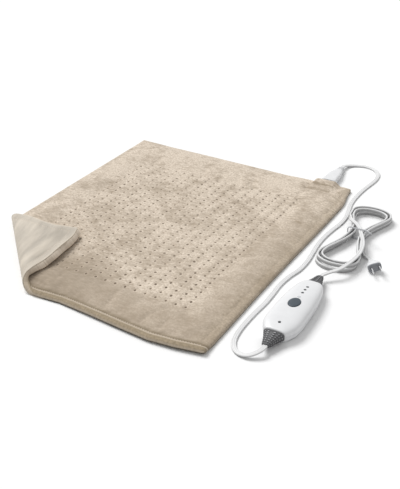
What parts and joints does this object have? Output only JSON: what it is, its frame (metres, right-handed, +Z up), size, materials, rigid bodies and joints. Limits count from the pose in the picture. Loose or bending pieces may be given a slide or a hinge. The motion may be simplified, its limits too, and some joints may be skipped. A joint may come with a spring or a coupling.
{
  "type": "heating pad with controller",
  "caption": "Rectangular plush heating pad with sewn rows and a turned-over corner, a plug-in connector, a flat lead, a hand controller with a push button, and a tied mains cord with plug.",
  "frame": {"origin": "middle of the pad's underside, on the surface that it lies on", "axes": "+X along the pad's short side towards the controller, +Y along its long side towards the socket, +Z up"},
  "size_m": [0.65, 0.7359, 0.0296],
  "materials": {
    "plush": "short beige plush",
    "underside_cloth": "smooth cream cloth with a slight satin",
    "felt": "pale felt",
    "white_plastic": "satin-gloss white",
    "white_cord": "smooth white cord sheath",
    "dark_rubber": "matt dark grey",
    "slate_plastic": "satin slate",
    "grey_plastic": "matt mid grey",
    "lamp_lens": "clear dark lens, unlit",
    "bright_metal": "bright plated",
    "contact_brass": "plain brass",
    "green_board": "green board",
    "amber_plastic": "dipped amber",
    "beige_ceramic": "matt beige",
    "black_plastic": "matt black"
  },
  "bodies": {
    "pad": {"bottom_cover": "underside_cloth", "lower_felt": "felt", "heating_wire": "white_cord", "return_lead": "white_cord", "thermostat_1": "black_plastic", "thermostat_2": "black_plastic", "upper_felt": "felt", "top_cover": "plush", "socket_housing": "white_plastic", "socket_pin_1": "contact_brass", "socket_pin_2": "contact_brass", "socket_pin_3": "contact_brass"},
    "control_set": {"connector_body": "white_plastic", "connector_relief": "white_plastic", "contact_sleeve_1": "contact_brass", "contact_sleeve_2": "contact_brass", "contact_sleeve_3": "contact_brass", "pad_lead": "white_cord", "lower_shell": "white_plastic", "upper_shell": "white_plastic", "front_strain_relief": "dark_rubber", "rear_strain_relief": "dark_rubber", "circuit_board": "green_board", "switch_body": "black_plastic", "level_lamp_1": "lamp_lens", "level_lamp_2": "lamp_lens", "level_lamp_3": "lamp_lens", "power_lamp": "lamp_lens", "fuse": "bright_metal", "triac": "black_plastic", "capacitor": "amber_plastic", "resistor": "beige_ceramic", "screw_1": "bright_metal", "screw_2": "bright_metal", "screw_3": "bright_metal", "screw_4": "bright_metal", "pad_wire_1": "white_cord", "pad_wire_2": "white_cord", "mains_wire_1": "black_plastic", "mains_wire_2": "black_plastic", "mains_cord": "white_cord", "mains_hank": "white_cord", "mains_cord_tail": "white_cord", "hank_tie": "white_cord", "plug_body": "white_plastic", "plug_face": "grey_plastic", "plug_blade_1": "bright_metal", "plug_blade_2": "bright_metal"},
    "button": {"button_cap": "slate_plastic", "switch_plunger": "grey_plastic"}
  },
  "joints": [
    {"name": "connector_pull", "type": "slide", "parent": "pad", "child": "control_set", "axis": [0, 1, 0], "range_m": [0, 0.022]},
    {"name": "button_press", "type": "slide", "parent": "control_set", "child": "button", "axis": [0, 0, -1], "range_m": [0, 0.0008], "stiffness_N_per_m": 1500}
  ]
}
